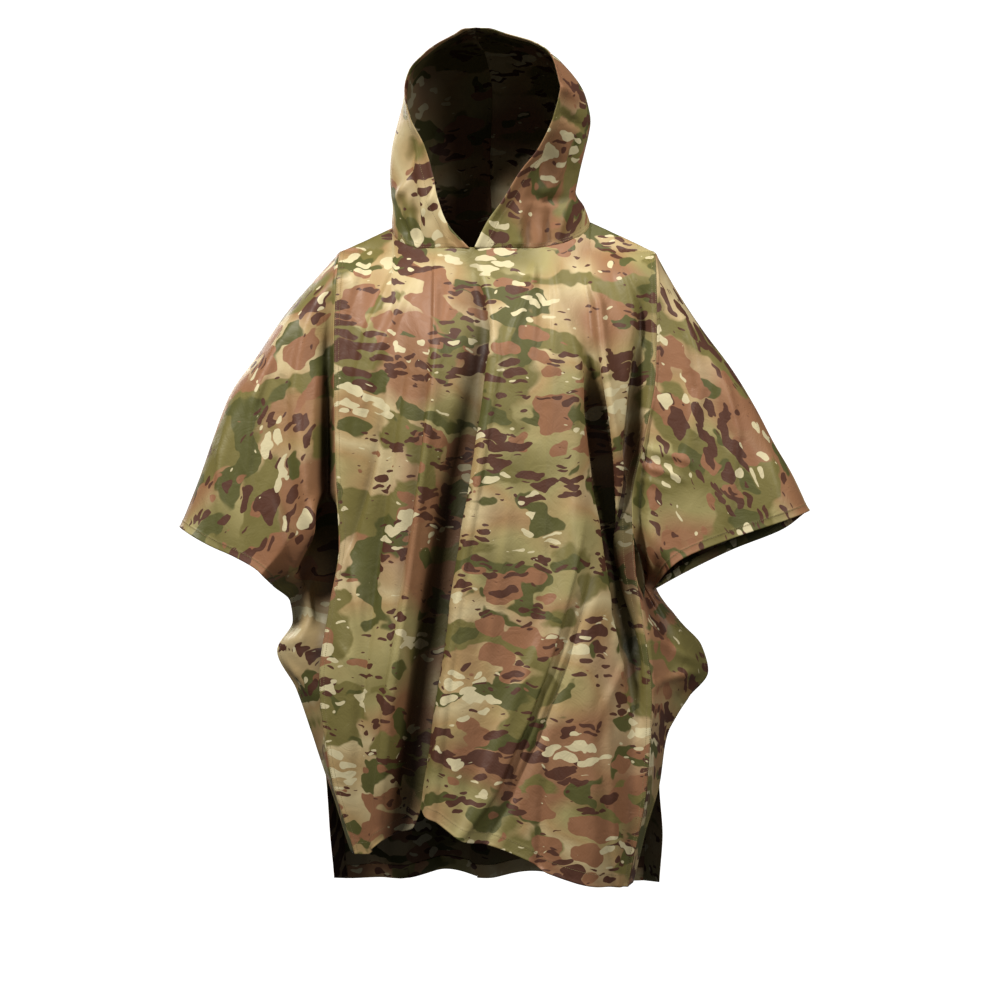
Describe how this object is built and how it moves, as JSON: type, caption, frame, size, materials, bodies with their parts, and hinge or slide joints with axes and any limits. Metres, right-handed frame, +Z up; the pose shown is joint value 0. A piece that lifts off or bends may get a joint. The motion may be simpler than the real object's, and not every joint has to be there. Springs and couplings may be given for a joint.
{
  "type": "rain poncho",
  "caption": "Wide hooded rain poncho of thin coated cloth, worn and hollow, with short wide sleeves, side vents and long folds.",
  "frame": {"origin": "middle of the neck line at the front, level with it, where the wearer's shoulders hold the garment", "axes": "+Z up along the wearer, -Y out of the garment's front, +X to the viewer's right of the front"},
  "size_m": [1.1268, 0.4147, 1.5587],
  "materials": {
    "shell_cloth": "thin coated polyester with a soft sheen, printed in blotches of tan, sand, brown and green",
    "hem_cloth": "the same cloth turned under and stitched down"
  },
  "bodies": {
    "root": {"front_panel": "shell_cloth", "front_hem": "hem_cloth", "back_panel": "shell_cloth", "back_hem": "hem_cloth", "sleeve_left": "shell_cloth", "sleeve_hem_left": "hem_cloth", "sleeve_right": "shell_cloth", "sleeve_hem_right": "hem_cloth", "hood_left": "shell_cloth", "hood_right": "shell_cloth", "hood_rim": "hem_cloth"}
  },
  "joints": []
}
